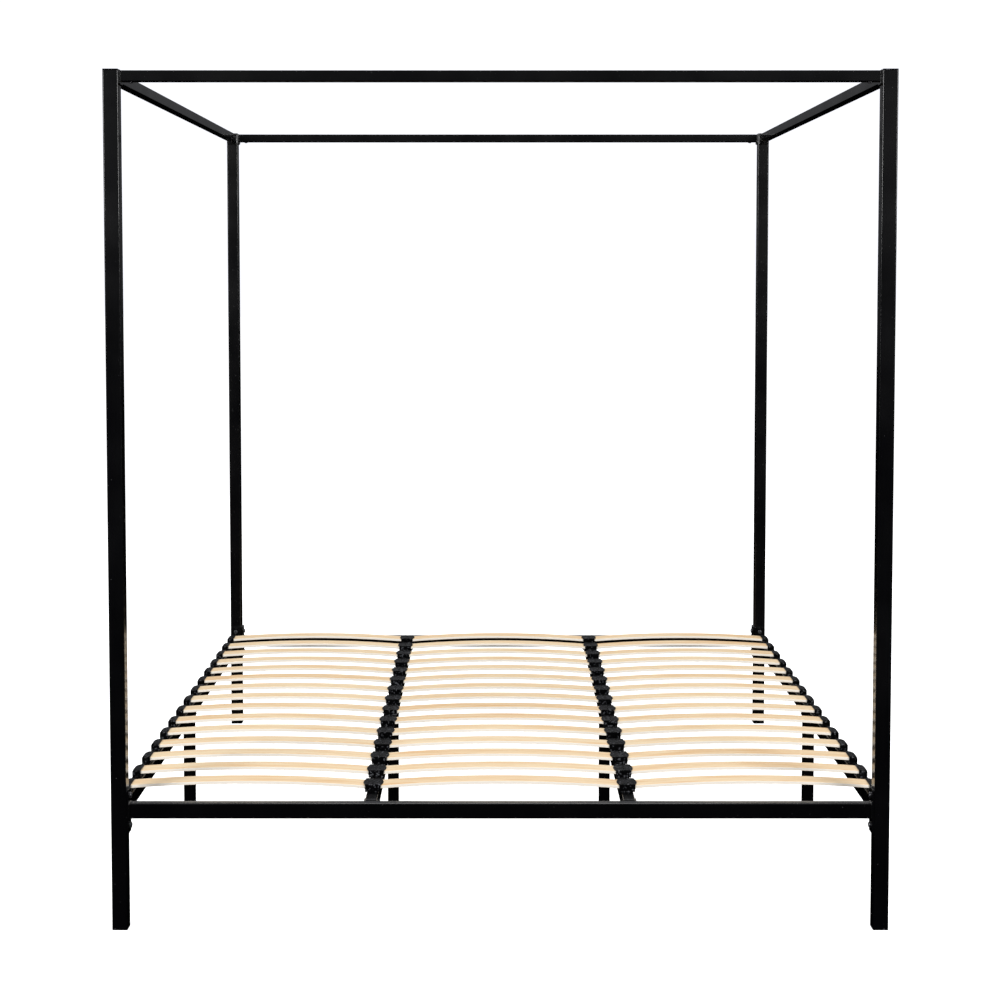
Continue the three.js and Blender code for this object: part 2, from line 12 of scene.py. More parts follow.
import bmesh
import bpy
import mathutils
import numpy as np
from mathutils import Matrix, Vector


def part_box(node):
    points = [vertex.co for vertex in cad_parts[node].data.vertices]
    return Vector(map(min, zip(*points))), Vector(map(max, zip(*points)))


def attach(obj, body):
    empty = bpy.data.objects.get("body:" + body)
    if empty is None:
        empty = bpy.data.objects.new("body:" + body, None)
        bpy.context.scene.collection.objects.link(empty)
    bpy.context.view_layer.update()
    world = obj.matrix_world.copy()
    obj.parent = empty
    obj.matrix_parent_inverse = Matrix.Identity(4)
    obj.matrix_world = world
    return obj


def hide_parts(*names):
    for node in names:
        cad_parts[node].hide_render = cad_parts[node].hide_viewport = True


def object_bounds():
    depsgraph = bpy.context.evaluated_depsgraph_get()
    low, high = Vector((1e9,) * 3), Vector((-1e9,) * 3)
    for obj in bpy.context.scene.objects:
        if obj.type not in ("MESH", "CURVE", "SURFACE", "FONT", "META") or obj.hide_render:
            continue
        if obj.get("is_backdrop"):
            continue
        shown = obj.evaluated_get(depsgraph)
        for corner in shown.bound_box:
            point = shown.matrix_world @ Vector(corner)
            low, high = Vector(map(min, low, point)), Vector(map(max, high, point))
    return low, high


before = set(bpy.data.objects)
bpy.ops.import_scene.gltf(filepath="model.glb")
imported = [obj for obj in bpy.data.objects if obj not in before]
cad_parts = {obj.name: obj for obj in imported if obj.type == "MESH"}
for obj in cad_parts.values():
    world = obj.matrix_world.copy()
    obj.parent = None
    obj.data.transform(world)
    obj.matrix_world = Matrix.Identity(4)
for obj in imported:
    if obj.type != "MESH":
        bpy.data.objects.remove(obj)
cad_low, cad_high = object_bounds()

print("packed nodes:", len(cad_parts))
print("packed box, metres:", [round(v, 3) for v in (*cad_low, *cad_high)])

# %% [markdown]
# ## Measures
#
# Blender works in metres and a workshop in millimetres, so sizes are written as a number times
# MM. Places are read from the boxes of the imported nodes. Sizes that a box can't give, such as
# a wall or the radius of a tube's corner, are named in the cell that first needs them.

# %% Measures and places
MM = 0.001
FIT = 0.3 * MM
SIDES = {"left": -1, "right": 1}
ENDS = {"foot": -1, "head": 1}
CORNERS = [(end, side, x, y) for end, y in ENDS.items() for side, x in SIDES.items()]


def box(node):
    """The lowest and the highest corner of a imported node, as arrays."""
    low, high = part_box(node)
    return np.array(low), np.array(high)


def middle(node):
    """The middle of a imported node's box: half of the sum of its two corners."""
    low, high = box(node)
    return (low + high) / 2


post_x, post_y, _ = middle("post_glide_head_right")
post_size = np.ptp(box("post_glide_head_right"), axis=0)[0]
mid_rail_low, mid_rail_high = box("mid_rail_right")
mid_rail_x = middle("mid_rail_right")[0]
rail_bottom, rail_top = mid_rail_low[2], mid_rail_high[2]
print("post axis", post_x, post_y, "post", post_size, "rail", rail_bottom, rail_top)

# %% [markdown]
# ## Outlines and skins
#
# Nearly every part of this bed is an outline carried along a line: a tube is a rounded
# rectangle carried along its length, a plate is one carried through its thickness, and a slat
# is a flat one carried along a shallow arc. A bevelled cube would tie each corner to a chain
# of modifiers. Here an outline is worked out as a whole array of points, a stack of outlines is
# a grid, and one function turns a grid into faces.

# %% A rounded rectangle
CORNER_STEPS = 6


def rounded_rectangle(half_a, half_b, radius, steps=CORNER_STEPS):
    """Outlines of rounded rectangles, one for each entry of the three sizes.

    A point is the centre of its corner, which lies in from both sides by the radius, plus the
    radius times the direction of an angle that runs once round in equal steps per corner.
    """
    half_a, half_b, radius = np.broadcast_arrays(*np.atleast_1d(half_a, half_b, radius))
    quarter = np.linspace(0, np.pi / 2, steps + 1)
    angle = (quarter + np.arange(4)[:, None] * np.pi / 2).ravel()
    side_a = np.repeat([1, -1, -1, 1], steps + 1)
    side_b = np.repeat([1, 1, -1, -1], steps + 1)
    a = (half_a - radius)[:, None] * side_a + radius[:, None] * np.cos(angle)
    b = (half_b - radius)[:, None] * side_b + radius[:, None] * np.sin(angle)
    return np.stack([a, b], axis=-1)


print("points in an outline:", rounded_rectangle(1, 1, 0.1).shape[1])

# %% From outlines to rings in space
AXES = {"X": (1, 2, 0), "Y": (0, 2, 1), "Z": (0, 1, 2)}


def along(axis, outlines, where, centre):
    """Puts outline number i across the axis at the height where[i], centred on centre.

    The outline's two numbers go to the two directions across the axis, in the order of AXES.
    """
    a, b, c = AXES[axis]
    rings = np.empty(outlines.shape[:2] + (3,))
    rings[..., a] = outlines[..., 0] + centre[a]
    rings[..., b] = outlines[..., 1] + centre[b]
    rings[..., c] = np.broadcast_to(np.asarray(where, float)[:, None], outlines.shape[:2])
    return rings


# %% From rings to a closed skin
def outwards(points, quads, triangles):
    """Turns all faces round if the volume that they enclose comes out negative.

    The volume is a sixth of the sum, over all triangles, of the first corner times the cross
    product of the other two.
    """
    halves = np.concatenate([quads[:, [0, 1, 2]], quads[:, [0, 2, 3]], triangles])
    a, b, c = (points[halves[:, k]] for k in range(3))
    if np.einsum("ij,ij->", a, np.cross(b, c)) < 0:
        return points, quads[:, ::-1], triangles[:, ::-1]
    return points, quads, triangles


def skin(rings, joined=False):
    """Closes a grid of rings into one surface of four-sided faces.

    Each face takes two neighbours on a ring and the same two on the next ring. The first and
    last ring are joined to each other, or each is closed by triangles to a pole at its middle.
    """
    rows, count = rings.shape[:2]
    points = rings.reshape(-1, 3)
    index = np.arange(rows * count).reshape(rows, count)
    if joined:
        index = np.vstack([index, index[:1]])
    beside = np.roll(index, -1, axis=1)
    quads = np.stack([index[:-1], beside[:-1], beside[1:], index[1:]], axis=-1).reshape(-1, 4)
    triangles = np.empty((0, 3), int)
    if not joined:
        points = np.concatenate([points, rings[[0, -1]].mean(axis=1)])
        first, last = np.full(count, rows * count), np.full(count, rows * count + 1)
        triangles = np.concatenate([
            np.stack([beside[0], index[0], first], axis=-1),
            np.stack([index[-1], beside[-1], last], axis=-1),
        ])
    return outwards(points, quads, triangles)


cube = skin(along("Z", rounded_rectangle([1, 1], 1, 0.1), [-1, 1], (0, 0, 0)))
print("faces of a test block:", len(cube[1]), "sides and", len(cube[2]), "round the poles")

# %% [markdown]
# A finished piece is one object. Welded parts, such as a rail with its end plates and beads,
# are several closed skins in one mesh, because on the real bed they can't be taken apart.
# Faces are shaded smooth up to a sharp angle, and a weighted normal keeps the large flat sides
# flat where they run into a rounded corner.

# %% From skins to a piece
SHARP_ANGLE = np.radians(38)


def mesh_of(name, skins):
    """One mesh from several closed skins, each one's faces counted on from the last point."""
    starts = np.cumsum([0] + [len(points) for points, _, _ in skins])
    points = np.concatenate([points for points, _, _ in skins])
    faces = []
    for start, (_, quads, triangles) in zip(starts, skins):
        faces += (quads + start).tolist() + (triangles + start).tolist()
    mesh = bpy.data.meshes.new(name)
    mesh.from_pydata(points.tolist(), [], faces)
    return mesh


def merged(mesh):
    """Merges points that fell together and removes the faces of no area between them."""
    work = bmesh.new()
    work.from_mesh(mesh)
    bmesh.ops.remove_doubles(work, verts=work.verts, dist=0.001 * MM)
    bmesh.ops.dissolve_degenerate(work, edges=work.edges, dist=0.001 * MM)
    work.to_mesh(mesh)
    work.free()


def piece(name, skins, finish, node):
    """Makes an object from skins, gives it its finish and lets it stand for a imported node."""
    mesh = mesh_of(name, skins)
    merged(mesh)
    mesh.shade_smooth()
    mesh.set_sharp_from_angle(angle=SHARP_ANGLE)
    mesh.materials.append(finish)
    made = bpy.data.objects.new(name, mesh)
    bpy.context.scene.collection.objects.link(made)
    made.modifiers.new("flat sides", "WEIGHTED_NORMAL").keep_sharp = True
    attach(made, "root")
    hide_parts(node)
    return made


# %% [markdown]
# ## Writing a finish as an expression
#
# A finish is a small program of shader nodes. Typed out node by node it is long and hard to
# read, so two helpers let it be written as arithmetic. A Signal is the output of a node, and
# adding or multiplying signals adds the Math nodes that do it. A Bench holds a node tree and
# makes every other node with one method: the kind, its settings, then its sockets.

# %% Signals and the bench
class Signal:
    """The output of a node, which can be used in sums and products."""

    def __init__(self, bench, socket):
        self.bench = bench
        self.socket = socket

    def maths(self, operation, first, second):
        return self.bench.node("ShaderNodeMath", {"operation": operation}, {0: first, 1: second})

    def __add__(self, other):
        return self.maths("ADD", self, other)

    def __rsub__(self, other):
        return self.maths("SUBTRACT", other, self)

    def __mul__(self, other):
        return self.maths("MULTIPLY", self, other)

    __radd__ = __add__
    __rmul__ = __mul__


class Bench:
    """A node tree and the one way of adding a node to it."""

    def __init__(self, tree):
        self.tree = tree

    def node(self, kind, settings=None, sockets=None, output=0):
        """Adds a node: settings are set first, then each socket gets a value or a signal."""
        made = self.tree.nodes.new(kind)
        for name, value in (settings or {}).items():
            setattr(made, name, value)
        for name, value in (sockets or {}).items():
            self.feed(made.inputs[name], value)
        return Signal(self, made.outputs[output])

    def feed(self, socket, value):
        """Links a signal to a socket, or sets a plain value on it."""
        if isinstance(value, Signal):
            self.tree.links.new(value.socket, socket)
        else:
            socket.default_value = value

    def ramp(self, signal, start, end):
        """0 below start, 1 above end, and a straight slope between the two."""
        return self.node(
            "ShaderNodeMapRange",
            sockets={"Value": signal, "From Min": start, "From Max": end},
        )

    def noise(self, place, scale, detail=2.0, roughness=0.5):
        """Smooth noise of about scale lumps per metre, mostly between 0.3 and 0.7."""
        return self.node(
            "ShaderNodeTexNoise",
            sockets={"Vector": place, "Scale": scale, "Detail": detail, "Roughness": roughness},
        )

    def stretched(self, place, factors):
        """A place with each of its three numbers multiplied, so that a pattern gets drawn out."""
        return self.node(
            "ShaderNodeVectorMath", {"operation": "MULTIPLY"}, {0: place, 1: factors}
        )

    def mixed(self, share, first, second):
        """The first colour where share is 0 and the second where it is 1."""
        return self.node(
            "ShaderNodeMix",
            {"data_type": "RGBA"},
            {"Factor": share, "A": first, "B": second},
            output="Result",
        )


# %% A new finish
def new_finish(name, constants):
    """A material with a Principled shader whose constant sockets are set, and its bench."""
    material = bpy.data.materials.new(name)
    material.use_nodes = True
    bench = Bench(material.node_tree)
    shader = material.node_tree.nodes["Principled BSDF"]
    for socket, value in constants.items():
        shader.inputs[socket].default_value = value
    return material, bench, shader


def object_place(bench):
    """The point in the bed's own frame, in metres."""
    return bench.node("ShaderNodeTexCoord", output="Object")


def bumped(bench, shader, height, distance, strength=1.0):
    """Tilts the surface as if the height, from 0 to 1, stood out by the distance."""
    bump = bench.node(
        "ShaderNodeBump", sockets={"Height": height, "Distance": distance, "Strength": strength}
    )
    bench.feed(shader.inputs["Normal"], bump)


# %% [markdown]
# ## Black powder coat
#
# The steel is sprayed with dry powder and baked. The powder melts into a hard, nearly black
# skin that shines at a glancing angle. It has a faint orange peel, lumps about a millimetre
# wide that only show where a light is reflected at the edge of a tube. The gloss is a little
# uneven from one stretch to the next, the smallest pores hold some grey dust, and here and
# there a speck of dust is baked in.

# %% Black powder coat
def powder_coat():
    """Near black, with gloss that drifts over decimetres, orange peel and rare pale specks."""
    finish, bench, shader = new_finish(
        "black powder coat",
        {"Specular IOR Level": 0.3, "Coat Roughness": 0.08, "Coat IOR": 1.45},
    )
    place = object_place(bench)
    drift = bench.noise(place, 7.0, detail=3.0)
    peel = bench.noise(place, 850.0, detail=2.0)
    pores = bench.ramp(bench.noise(place, 2600.0, detail=1.0), 0.62, 0.74)
    specks = bench.ramp(bench.noise(place, 300.0, detail=0.0), 0.85, 0.88)
    dark, dusty, grey = (0.0006, 0.0006, 0.0009, 1), (0.005, 0.005, 0.006, 1), (0.06, 0.06, 0.06, 1)
    colour = bench.mixed(pores * 0.5 + drift * 0.15, dark, dusty)
    bench.feed(shader.inputs["Base Color"], bench.mixed(specks, colour, grey))
    bench.feed(shader.inputs["Roughness"], 0.1 + 0.2 * drift + 0.04 * peel)
    bench.feed(shader.inputs["Coat Weight"], 0.25 + 0.35 * bench.ramp(drift, 0.35, 0.65))
    bumped(bench, shader, peel, 0.012 * MM)
    return finish


black_steel = powder_coat()
print("made", black_steel.name)

# %% [markdown]
# ## Moulded plastic
#
# The plugs and the slat holders are moulded in a nearly black plastic. The mould is
# spark-eroded, which leaves a fine, even grain that scatters the light, so the tops of the
# holders look a little greyer than the tubes beside them. Small paler flecks of a few
# millimetres are painted glints: highlights painted into the colour.

# %% Moulded plastic
def moulded_plastic():
    """Nearly black, with a fine grain, faint scuffs and painted glints of a few millimetres."""
    finish, bench, shader = new_finish("moulded plastic", {"Specular IOR Level": 0.07})
    place = object_place(bench)
    grain = bench.noise(place, 2900.0, detail=1.0)
    drift = bench.noise(place, 24.0, detail=2.0)
    scuffs = bench.ramp(bench.noise(bench.stretched(place, (60, 420, 60)), 1.0), 0.6, 0.72)
    painted_glints = bench.ramp(bench.noise(place, 170.0, detail=1.0), 0.6, 0.68)
    dark, pale = (0.0007, 0.0007, 0.0008, 1), (0.003, 0.003, 0.0035, 1)
    colour = bench.mixed(drift * 0.5 + scuffs * 0.35, dark, pale)
    # Paler flecks here are painted glints, highlights painted into the base colour.
    colour = bench.mixed(painted_glints, colour, (0.06, 0.062, 0.068, 1))
    bench.feed(shader.inputs["Base Color"], colour)
    bench.feed(shader.inputs["Roughness"], 0.18 + 0.16 * drift + 0.12 * scuffs)
    bumped(bench, shader, grain, 0.012 * MM, 0.6)
    return finish


black_plastic = moulded_plastic()
print("made", black_plastic.name)

# %% [markdown]
# ## Dark zinc
#
# Bolts and nut plates are steel plated with zinc and then blackened. It is a thin metal skin,
# brighter where tools have rubbed it, with a faint cloudy pattern from the bath.

# %% Dark zinc
def dark_zinc():
    """A dark metal whose tone and gloss follow one cloudy pattern of about two millimetres."""
    finish, bench, shader = new_finish("dark zinc", {"Metallic": 0.9})
    place = object_place(bench)
    clouds = bench.noise(place, 420.0, detail=4.0, roughness=0.6)
    rubbed = bench.ramp(clouds, 0.42, 0.66)
    dark, bright = (0.045, 0.045, 0.05, 1), (0.2, 0.2, 0.21, 1)
    bench.feed(shader.inputs["Base Color"], bench.mixed(rubbed, dark, bright))
    bench.feed(shader.inputs["Roughness"], 0.42 - 0.14 * rubbed)
    bumped(bench, shader, clouds, 0.02 * MM, 0.5)
    return finish


zinc = dark_zinc()
print("made", zinc.name)

# %% [markdown]
# ## Birch plywood
#
# A slat is pressed from seven birch veneers, bent while the glue sets. The veneer is peeled off
# the log, so its face shows wide, wandering bands rather than straight lines, with fine pores
# along the grain and now and then a small brown knot. The long edges show the seven layers, in
# turn along and across the grain.
#
# The pattern has to follow the board, not the room, so each slat carries two attributes. The
# first, called board, holds the distance along, across and through the slat, started at another
# place for each slat, so that no two are alike. The second, called tone, is one number for the
# whole slat, because real slats come from different logs.

# %% Birch plywood
PLIES = 7
SLAT_THICKNESS = 8 * MM


def birch_plywood():
    """Pale birch: bands that bend round knots, pores, and seven layers on the long edges.

    The bands are the fractions of a slowly varying noise, which run round its hills and
    valleys as year rings do. The layers are a sine of the distance through the board.
    """
    finish, bench, shader = new_finish("birch plywood", {"Specular IOR Level": 0.2})
    board = bench.node("ShaderNodeAttribute", {"attribute_name": "board"}, output="Vector")
    tone = bench.node("ShaderNodeAttribute", {"attribute_name": "tone"}, output="Fac")
    through = bench.node("ShaderNodeSeparateXYZ", sockets={0: board}, output="Z")

    hills = bench.noise(bench.stretched(board, (1.6, 15, 4)), 1.0, detail=1.5, roughness=0.4)
    rings = bench.node("ShaderNodeMath", {"operation": "PINGPONG"}, {0: hills * 11.0, 1: 1.0})
    bands = bench.ramp(rings, 0.25, 1.0) * bench.ramp(hills, 0.35, 0.6)
    streaks = bench.ramp(
        bench.noise(bench.stretched(board, (7, 80, 40)), 1.0, detail=3.0), 0.45, 0.7
    )
    pores = bench.ramp(
        bench.noise(bench.stretched(board, (45, 1500, 900)), 1.0, detail=1.0), 0.6, 0.76
    )

    cells = bench.node(
        "ShaderNodeTexVoronoi", {"feature": "F1"},
        {"Vector": bench.stretched(board, (2.2, 11, 0)), "Scale": 1.0, "Randomness": 1.0},
        output="Distance",
    )
    wobble = bench.noise(bench.stretched(board, (120, 400, 0)), 1.0)
    knot = 1 - bench.ramp(cells + 0.03 * wobble, 0.03, 0.055)
    halo = 1 - bench.ramp(cells, 0.02, 0.2)

    wave = bench.node(
        "ShaderNodeMath", {"operation": "SINE"}, {0: through * (np.pi * PLIES / SLAT_THICKNESS)}
    )
    inner = bench.ramp(through, 0.04 * SLAT_THICKNESS, 0.09 * SLAT_THICKNESS)
    outer = bench.ramp(through, 0.91 * SLAT_THICKNESS, 0.96 * SLAT_THICKNESS)
    edge = inner * (1 - outer)
    layers = edge * bench.ramp(wave, -0.15, 0.15)

    pale, warm = (0.89, 0.715, 0.475, 1), (0.80, 0.53, 0.28, 1)
    amber, brown = (0.72, 0.41, 0.17, 1), (0.24, 0.10, 0.04, 1)
    long_ply, cross_ply = (0.82, 0.77, 0.69, 1), (0.74, 0.67, 0.56, 1)
    colour = bench.mixed(bands * 0.5 + tone * 0.3, pale, warm)
    colour = bench.mixed(streaks * (0.36 + 0.36 * tone) + halo * 0.45, colour, amber)
    colour = bench.mixed(pores * 0.3, colour, amber)
    colour = bench.mixed(knot * (1 - edge) * 0.85, colour, brown)
    colour = bench.mixed(edge, colour, bench.mixed(layers * 0.8, long_ply, cross_ply))
    bench.feed(shader.inputs["Base Color"], colour)
    bench.feed(shader.inputs["Roughness"], 0.46 + 0.14 * streaks + 0.1 * pores + 0.12 * edge)
    bumped(bench, shader, 0.5 * streaks + pores + 1.5 * layers, -0.05 * MM)
    return finish


birch = birch_plywood()
print("made", birch.name)

# %% [markdown]
# ## Tubes, plates and beads
#
# Three shapes make the whole frame. A tube is an outline carried along its length and back
# again inside, so that it has a real wall and open ends. A plate is an outline carried through
# its thickness, drawn in at both faces as a quarter circle, which is the edge that a laser-cut
# plate has after tumbling. A bead is the weld between the two: a thin round roll that follows
# the tube's outline, with a ripple for each step of the torch.

# %% Tube
TUBE_END_EASE = 0.4 * MM
LEAST_RADIUS = 0.3 * MM


def drawn_in(sizes, radius, inset):
    """A rounded rectangle for each inset, drawn in by it on all four sides."""
    corner = np.maximum(radius - inset, LEAST_RADIUS)
    return rounded_rectangle(sizes[0] / 2 - inset, sizes[1] / 2 - inset, corner)


def tube(axis, centre, start, end, sizes, radius, wall):
    """A rectangular tube from start to end along an axis, with rounded corners and a wall.

    The outlines run out along the outside, drawn in a little at both ends, and back along the
    inside, drawn in by the wall. The last one is joined to the first.
    """
    where = [start, start + TUBE_END_EASE, end - TUBE_END_EASE, end, end, start]
    inset = np.array([TUBE_END_EASE, 0, 0, TUBE_END_EASE, wall, wall])
    return skin(along(axis, drawn_in(sizes, radius, inset), where, centre), joined=True)


# %% Plate
PLATE_EASE = 0.6 * MM
PLATE_EASE_STEPS = 3


def plate_stations(start, end):
    """Stations from one face to the other, and how far the outline is drawn in at each.

    Near a face the inset falls from the ease to nothing on a quarter circle.
    """
    quarter = np.linspace(0, np.pi / 2, PLATE_EASE_STEPS + 1)
    depth, inset = PLATE_EASE * (1 - np.cos(quarter)), PLATE_EASE * (1 - np.sin(quarter))
    direction = np.sign(end - start)
    where = np.concatenate([start + direction * depth, end - direction * depth[::-1]])
    return where, np.concatenate([inset, inset[::-1]])


def plate(axis, centre, start, end, sizes, radius):
    """A flat plate across an axis, from its face at start to its face at end."""
    where, inset = plate_stations(start, end)
    return skin(along(axis, drawn_in(sizes, radius, inset), where, centre))


# %% Weld bead
BEAD_RADIUS = 1.9 * MM
BEAD_RIPPLE = 3.2 * MM
RIPPLE_SAMPLES = 4
BEAD_SIDES = 8
BEAD_SWELL = 0.1


def bead(axis, centre, at, sizes, radius):
    """A weld round a tube where it meets a plate whose face crosses the axis at the place at.

    The path is the tube's outline in equal steps. Round each of its points goes a circle in
    the plane of the path's outward direction and the axis, whose radius grows and shrinks by a
    tenth once per ripple.
    """
    loop = rounded_rectangle(sizes[0] / 2, sizes[1] / 2, radius)[0]
    loop = np.vstack([loop, loop[:1]])
    run = np.concatenate([[0], np.cumsum(np.hypot(*np.diff(loop, axis=0).T))])
    ripples = round(run[-1] / BEAD_RIPPLE)
    travel = np.linspace(0, run[-1], ripples * RIPPLE_SAMPLES, endpoint=False)
    path = np.stack([np.interp(travel, run, loop[:, k]) for k in (0, 1)], axis=1)
    forward = np.roll(path, -1, axis=0) - np.roll(path, 1, axis=0)
    outward = np.stack([forward[:, 1], -forward[:, 0]], axis=1)
    outward /= np.linalg.norm(outward, axis=1, keepdims=True)

    turn = np.linspace(0, 2 * np.pi, BEAD_SIDES, endpoint=False)
    thick = BEAD_RADIUS * (1 + BEAD_SWELL * np.cos(2 * np.pi * ripples * travel / run[-1]))
    a, b, c = AXES[axis]
    rings = np.empty((len(path), BEAD_SIDES, 3))
    rings[..., a] = centre[a] + path[:, :1] + outward[:, :1] * thick[:, None] * np.cos(turn)
    rings[..., b] = centre[b] + path[:, 1:] + outward[:, 1:] * thick[:, None] * np.cos(turn)
    rings[..., c] = at + thick[:, None] * np.sin(turn)
    return skin(rings, joined=True)


# %% [markdown]
# ## Posts
#
# A post is one tube from the floor to the canopy. Near its top it carries two welded collars,
# each with a spigot that the canopy tube is pushed over, so the joint needs only one small
# screw. The places of the collars are where the canopy tubes end.

# %% Posts
POST_RADIUS = 3 * MM
POST_WALL = 1.5 * MM
CANOPY_RADIUS = 2.5 * MM
CANOPY_WALL = 1.5 * MM
COLLAR_MARGIN = 1.5 * MM
COLLAR_DROP = 7 * MM
SPIGOT_LENGTH = 45 * MM
SPIGOT_WALL = 2 * MM

canopy_low, canopy_high = box("canopy_rail_foot")
canopy_size = canopy_high[2] - canopy_low[2]
canopy_middle = (canopy_low[2] + canopy_high[2]) / 2
collar_thickness = post_x - post_size / 2 - canopy_high[0] - FIT


def canopy_arm(axis, post_axis, inwards):
    """The collar, its bead and the spigot on the face of a post that looks along the axis.

    The collar hangs lower than the tube, so its middle lies half of the drop below it.
    """
    c = AXES[axis][2]
    face = post_axis[c] + inwards * post_size / 2
    seat = face + inwards * collar_thickness
    centre = np.array([*post_axis, canopy_middle])
    low_centre = centre - [0, 0, COLLAR_DROP / 2]
    collar = canopy_size + 2 * COLLAR_MARGIN, canopy_size + COLLAR_DROP
    spigot = canopy_size - 2 * CANOPY_WALL - 2 * FIT
    in_wall = face - inwards * POST_WALL / 2
    ends = sorted([in_wall, seat + inwards * SPIGOT_LENGTH])
    return [
        plate(axis, low_centre, in_wall, seat, collar, CANOPY_RADIUS),
        bead(axis, low_centre, face, collar, CANOPY_RADIUS),
        tube(axis, centre, *ends, (spigot, spigot), CANOPY_RADIUS - CANOPY_WALL, SPIGOT_WALL),
    ]


for end, side, x_sign, y_sign in CORNERS:
    node = f"post_{end}_{side}"
    post_axis = np.array([x_sign * post_x, y_sign * post_y])
    bottom, top = box(node)[0][2], box(node)[1][2]
    square = (post_size, post_size)
    shaft = tube("Z", (*post_axis, 0), bottom, top, square, POST_RADIUS, POST_WALL)
    arms = canopy_arm("X", post_axis, -x_sign) + canopy_arm("Y", post_axis, -y_sign)
    piece(f"post_tube_{end}_{side}", [shaft, *arms], black_steel, node)
print("posts from", bottom, "to", top, "with collars", round(collar_thickness / MM, 2), "mm thick")

# %% [markdown]
# ## Plugs
#
# Every tube end that a person can touch is closed with a moulded plug: a flange as large as the
# tube, and a hollow skirt that grips inside it. The plugs in the feet are the bed's glides and
# the ones on top keep dust out of the posts. One outline, carried along the height and drawn in
# or out on the way, makes the flange, the skirt and its hollow in one closed skin.

# %% Plugs
PLUG_WALL = 2.5 * MM
PLUG_EASE = 1.1 * MM
PLUG_LENGTH = 14 * MM
LEG_RADIUS = 2.5 * MM


def plug(centre, outer_face, inwards, flange, size, radius, wall):
    """A plug with its outer face at a height and its skirt pointing inwards, which is 1 or -1.

    The rows give the distance in from the outer face and how far the outline is drawn in: the
    flange's rounded face, its sharp back, the skirt's outside, its rim and its hollow.
    """
    quarter = np.linspace(0, np.pi / 2, 5)
    skirt = wall + FIT
    depth = [*(PLUG_EASE * (1 - np.cos(quarter))), flange, flange]
    inset = [*(PLUG_EASE * (1 - np.sin(quarter))), 0, skirt]
    depth += [flange + PLUG_LENGTH, flange + PLUG_LENGTH, flange]
    inset += [skirt, skirt + PLUG_WALL, skirt + PLUG_WALL]
    outlines = drawn_in((size, size), radius, np.array(inset))
    return skin(along("Z", outlines, outer_face + inwards * np.array(depth), centre))


glide_flange = box("post_foot_left")[0][2] - FIT
cap_flange = cad_high[2] - box("post_foot_left")[1][2] - FIT
for end, side, _, _ in CORNERS:
    for node, name, face, inwards, flange in (
        (f"post_glide_{end}_{side}", "foot_plug", 0.0, 1, glide_flange),
        (f"post_cap_{end}_{side}", "top_plug", cad_high[2], -1, cap_flange),
    ):
        shape = plug(middle(node), face, inwards, flange, post_size, POST_RADIUS, POST_WALL)
        piece(f"{name}_{end}_{side}", [shape], black_plastic, node)
print("plug flanges", round(glide_flange / MM, 2), "and", round(cap_flange / MM, 2), "mm")

# %% [markdown]
# ## Screws and bolts
#
# All fasteners here are button-head screws with a hexagonal socket. A screw is a profile turned
# about its own axis. Only the socket isn't round, and there the radius follows a hexagon: the
# distance to its flat side, divided by the cosine of the angle from that side's middle.

# %% A button-head screw
SCREW_SIDES = 24
HEX_TURN = np.pi / 3
LARGE = {"head": 15 * MM, "height": 5 * MM, "shank": 8 * MM, "socket": 5 * MM}
MEDIUM = {"head": 11 * MM, "height": 3 * MM, "shank": 6 * MM, "socket": 4 * MM}
SMALL = {"head": 5.6 * MM, "height": 2 * MM, "shank": 3.5 * MM, "socket": 2 * MM}


def screw(axis, centre, seat, facing, length, head, height, shank, socket):
    """A screw whose head sits on its seat and looks up the axis, or down it if facing is -1.

    Rows of radius and height run from the socket's floor up its hexagonal wall, over a domed
    head that is a quarter of an ellipse, and down the shank to an eased tip.
    """
    turn = np.linspace(0, 2 * np.pi, SCREW_SIDES, endpoint=False)
    from_flat = (turn + HEX_TURN / 2) % HEX_TURN - HEX_TURN / 2
    hexagon = socket / 2 / np.cos(from_flat)
    rim = 0.3 * head
    dome = np.linspace(np.pi / 2, 0, 6)
    rounds = [
        *zip(rim + (head / 2 - rim) * np.cos(dome), 0.25 * height + 0.75 * height * np.sin(dome)),
        (0.485 * head, 0.0), (shank / 2, 0.0), (shank / 2, -length + 0.1 * shank),
        (0.38 * shank, -length),
    ]
    radius = np.tile(hexagon, (len(rounds) + 2, 1))
    radius[2:] = np.array([r for r, _ in rounds])[:, None]
    level = np.array([0.45 * height, height] + [z for _, z in rounds])
    outlines = radius[..., None] * np.stack([np.cos(turn), np.sin(turn)], axis=-1)
    return skin(along(axis, outlines, seat + facing * level, centre))


# %% [markdown]
# ## Canopy
#
# Four square tubes lie between the collars. Each is held by a screw from below at both ends,
# where nobody sees it.

# %% Canopy tubes and their screws
CANOPY_SCREW_FROM_END = 22 * MM
CANOPY_SCREW_LENGTH = 10 * MM

for rail, axis in (("foot", "X"), ("head", "X"), ("left", "Y"), ("right", "Y")):
    node = f"canopy_rail_{rail}"
    low, high = box(node)
    c = AXES[axis][2]
    square = (canopy_size, canopy_size)
    body = tube(axis, middle(node), low[c], high[c], square, CANOPY_RADIUS, CANOPY_WALL)
    piece(f"canopy_tube_{rail}", [body], black_steel, node)
    near, far = low[c] + CANOPY_SCREW_FROM_END, high[c] - CANOPY_SCREW_FROM_END
    for number, place in ((1, near), (2, far)):
        centre = middle(node)
        centre[c] = place
        shape = screw("Z", centre, low[2], -1, CANOPY_SCREW_LENGTH, **MEDIUM)
        piece(f"canopy_screw_{rail}_{number}", [shape], zinc, node)
print("canopy tubes", round(canopy_size / MM, 1), "mm square, middle at", round(canopy_middle, 4))

# %% [markdown]
# ## Bolted rails
#
# The foot rail, the head rail and the two side rails carry the sleepers. Each is a rectangular
# tube with a plate welded to both ends, taller than the rail so that a bolt fits above it and
# another below it.

